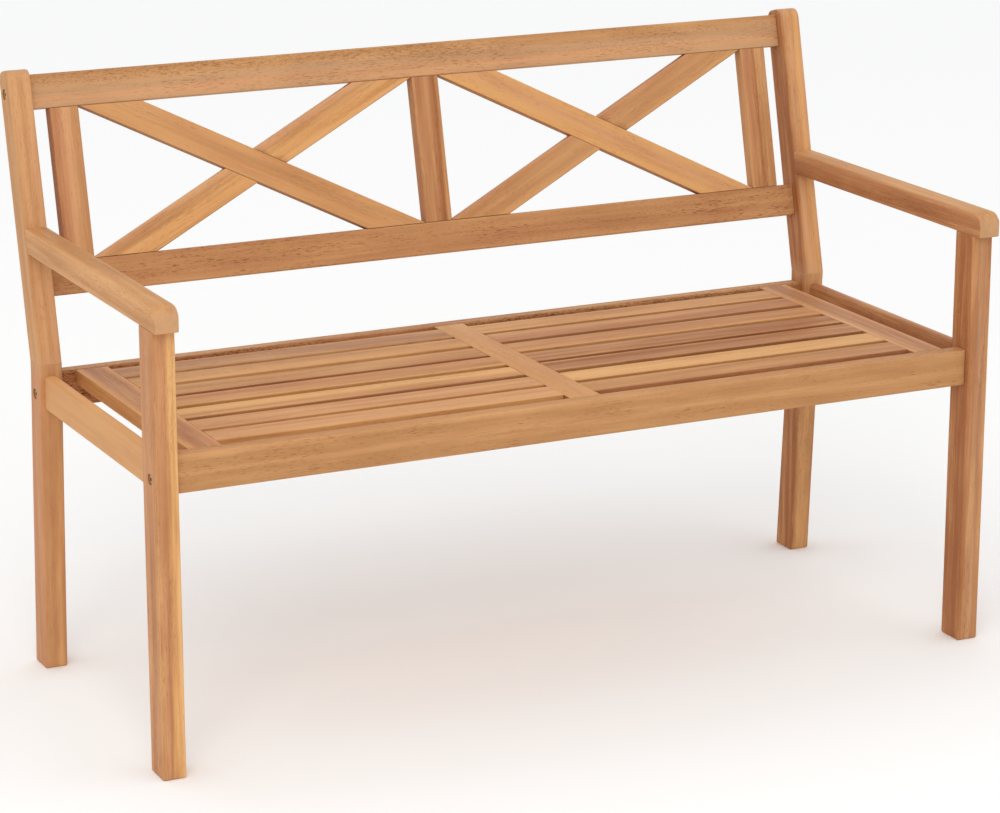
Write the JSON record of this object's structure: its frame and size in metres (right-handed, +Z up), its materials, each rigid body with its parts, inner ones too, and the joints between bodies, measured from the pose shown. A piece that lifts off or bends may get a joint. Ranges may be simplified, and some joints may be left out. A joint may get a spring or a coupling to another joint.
{
  "type": "garden bench",
  "caption": "Slatted hardwood garden bench with crossed diagonals in its raked back, plain armrests and square legs.",
  "frame": {"origin": "on the floor, under the middle of the bench's bounding box", "axes": "+X along the bench towards the sitter's left-hand end (the viewer's right when facing the seat), +Y towards the backrest, +Z up"},
  "size_m": [1.2, 0.5664, 0.8047],
  "materials": {
    "wood_peach": "oiled, straight grain with fine open pores",
    "wood_tan": "oiled, straight grain with fine open pores",
    "wood_honey": "oiled, straight grain with fine open pores",
    "wood_golden": "oiled, straight grain with fine open pores",
    "wood_rose": "oiled, straight grain with fine open pores",
    "wood_mauve": "oiled, straight grain with fine open pores",
    "steel": "zinc-plated, dull"
  },
  "bodies": {
    "root": {"front_leg_left": "wood_peach", "rear_leg_left": "wood_peach", "back_post_left": "wood_peach", "armrest_left": "wood_honey", "side_rail_left": "wood_honey", "front_leg_right": "wood_peach", "rear_leg_right": "wood_peach", "back_post_right": "wood_peach", "armrest_right": "wood_honey", "side_rail_right": "wood_honey", "front_rail": "wood_tan", "rear_rail": "wood_tan", "seat_board_left": "wood_honey", "seat_board_centre": "wood_honey", "seat_board_right": "wood_rose", "seat_slat_left_1": "wood_peach", "seat_slat_left_2": "wood_peach", "seat_slat_left_3": "wood_golden", "seat_slat_left_4": "wood_peach", "seat_slat_left_5": "wood_honey", "seat_slat_left_6": "wood_honey", "seat_slat_left_7": "wood_rose", "seat_slat_right_1": "wood_rose", "seat_slat_right_2": "wood_golden", "seat_slat_right_3": "wood_mauve", "seat_slat_right_4": "wood_mauve", "seat_slat_right_5": "wood_rose", "seat_slat_right_6": "wood_rose", "seat_slat_right_7": "wood_honey", "back_top_rail": "wood_tan", "back_lower_rail": "wood_tan", "back_stile_left": "wood_rose", "back_stile_centre": "wood_rose", "back_stile_right": "wood_rose", "back_diagonal_front_left": "wood_honey", "back_diagonal_rear_left": "wood_peach", "back_diagonal_front_right": "wood_honey", "back_diagonal_rear_right": "wood_peach", "bolt_front_rail_left": "steel", "barrel_nut_front_rail_left": "steel", "bolt_front_rail_right": "steel", "barrel_nut_front_rail_right": "steel", "bolt_rear_rail_left": "steel", "barrel_nut_rear_rail_left": "steel", "bolt_rear_rail_right": "steel", "barrel_nut_rear_rail_right": "steel", "bolt_top_rail_left": "steel", "barrel_nut_top_rail_left": "steel", "bolt_top_rail_right": "steel", "barrel_nut_top_rail_right": "steel"}
  },
  "joints": []
}
